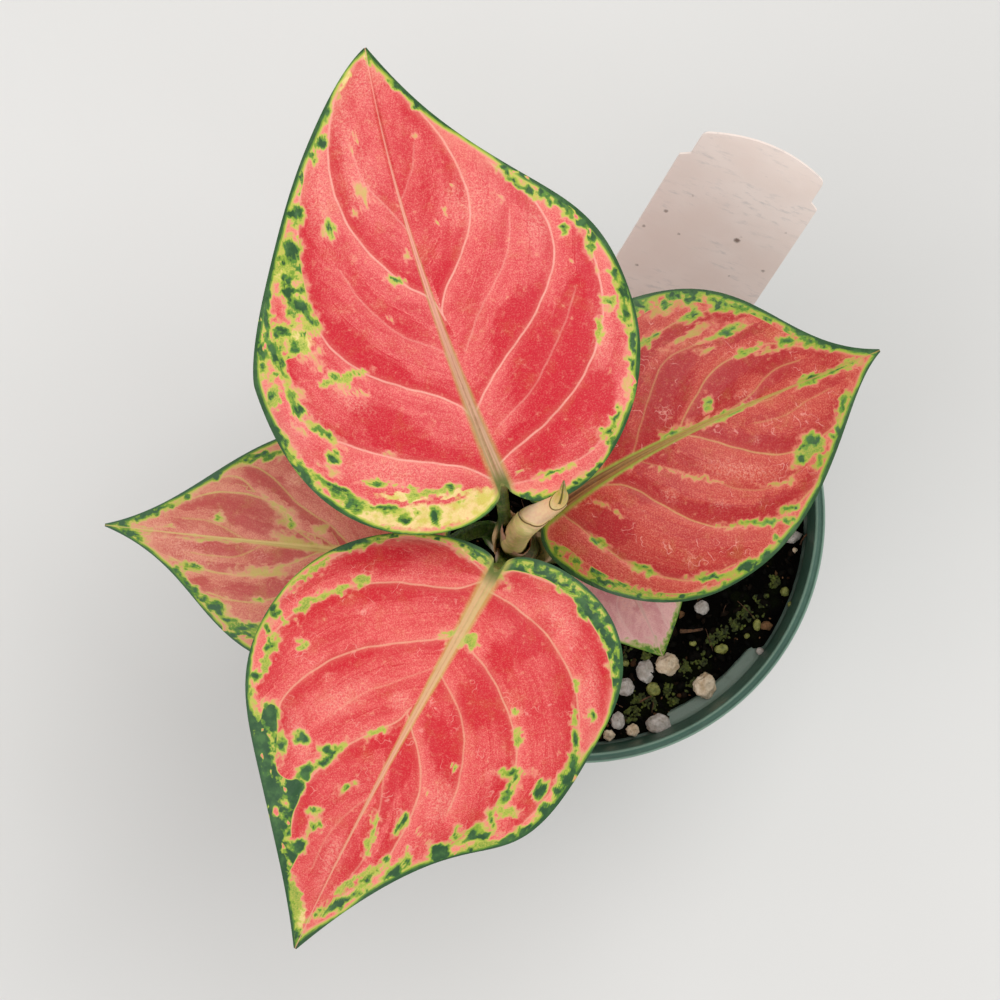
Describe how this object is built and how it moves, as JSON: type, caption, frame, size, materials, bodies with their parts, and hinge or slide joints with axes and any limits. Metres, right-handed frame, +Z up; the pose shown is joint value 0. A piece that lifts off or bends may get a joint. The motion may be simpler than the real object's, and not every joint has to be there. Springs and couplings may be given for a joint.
{
  "type": "potted chinese evergreen",
  "caption": "Young Chinese evergreen with broad red, lime-edged heart-shaped leaves and a rolled new leaf, growing in a round green nursery pot with a blank plant label.",
  "frame": {"origin": "middle of the pot's underside, on the surface it stands on", "axes": "+Z up along the pot's axis; the tallest leaf points towards +Y and slightly -X, the label leans towards +X +Y"},
  "size_m": [0.1659, 0.1831, 0.1871],
  "materials": {
    "pot": "thin moulded teal green plastic, satin, dusty",
    "soil": "damp dark peat with perlite, moss and bark",
    "cane": "smooth green cane with leaf scars",
    "petiole": "glossy dark green leaf stalk with a pale sheath",
    "young_blade": "satin red leaf with lime and dark green mottled edge",
    "blade": "satin red leaf, duller, with lime and dark green mottled edge",
    "old_blade": "satin pale mauve pink leaf with thin green edge",
    "rolled_leaf": "satin cream rolled leaf with thin dark edge",
    "label": "thin white plastic sheet, soiled"
  },
  "bodies": {
    "root": {"pot": "pot", "soil": "soil", "stem": "cane", "new_leaf": "rolled_leaf", "petiole_1": "petiole", "blade_1": "young_blade", "petiole_2": "petiole", "blade_2": "young_blade", "petiole_3": "petiole", "blade_3": "blade", "petiole_4": "petiole", "blade_4": "blade", "petiole_5": "petiole", "blade_5": "old_blade", "label": "label"}
  },
  "joints": []
}
